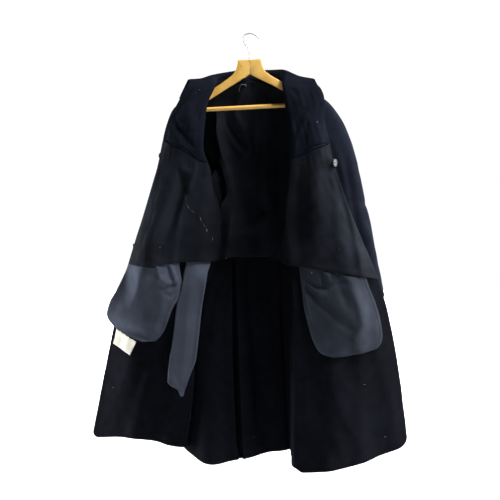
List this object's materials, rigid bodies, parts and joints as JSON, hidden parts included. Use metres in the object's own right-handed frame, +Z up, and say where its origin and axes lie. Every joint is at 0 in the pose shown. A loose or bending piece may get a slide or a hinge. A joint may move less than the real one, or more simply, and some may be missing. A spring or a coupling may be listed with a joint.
{
  "type": "overcoat on a hanger",
  "caption": "Long navy wool overcoat hung open on a pale wooden hanger, fronts folded back to show black lining and grey pocket bags.",
  "frame": {"origin": "inside top of the hanger's hook, where it rests on a rail", "axes": "+Z up, +X to the wearer's left, the coat's front faces -Y"},
  "size_m": [1.0769, 0.2369, 1.3723],
  "materials": {
    "melton": "felted navy wool, matt with a short nap",
    "melton_inside": "navy wool facing, matt",
    "lining": "black twill lining, slight sheen",
    "satin": "black satin sleeve lining, shiny on folds",
    "welt": "corded pocket jetting, satin",
    "drill": "grey cotton drill, matt",
    "tab": "cream woven tab, bare",
    "tape": "grey woven tape",
    "horn": "dark polished button",
    "wood": "pale clear-varnished wood",
    "steel": "bright drawn wire"
  },
  "bodies": {
    "root": {"front_r": "melton", "front_l": "melton", "back_r": "melton", "back_l": "melton", "sleeve_r": "melton", "sleeve_l": "melton", "collar": "melton", "pocket_welt_r": "melton", "pocket_welt_l": "melton", "facing_r": "melton_inside", "facing_l": "melton_inside", "vent_underlap": "melton_inside", "lining_back": "lining", "lining_front_r": "lining", "lining_front_l": "lining", "sleeve_lining_r": "satin", "sleeve_lining_l": "satin", "breast_welt_r": "welt", "breast_welt_l": "welt", "pocket_bag_r": "drill", "pocket_bag_l": "drill", "baton_pocket": "drill", "cloth_tab": "tab", "hanging_loop": "tape", "button_r": "horn", "button_l": "horn", "hanger_arm_r": "wood", "hanger_arm_l": "wood", "hanger_bar": "wood", "hanger_hook": "steel"}
  },
  "joints": []
}
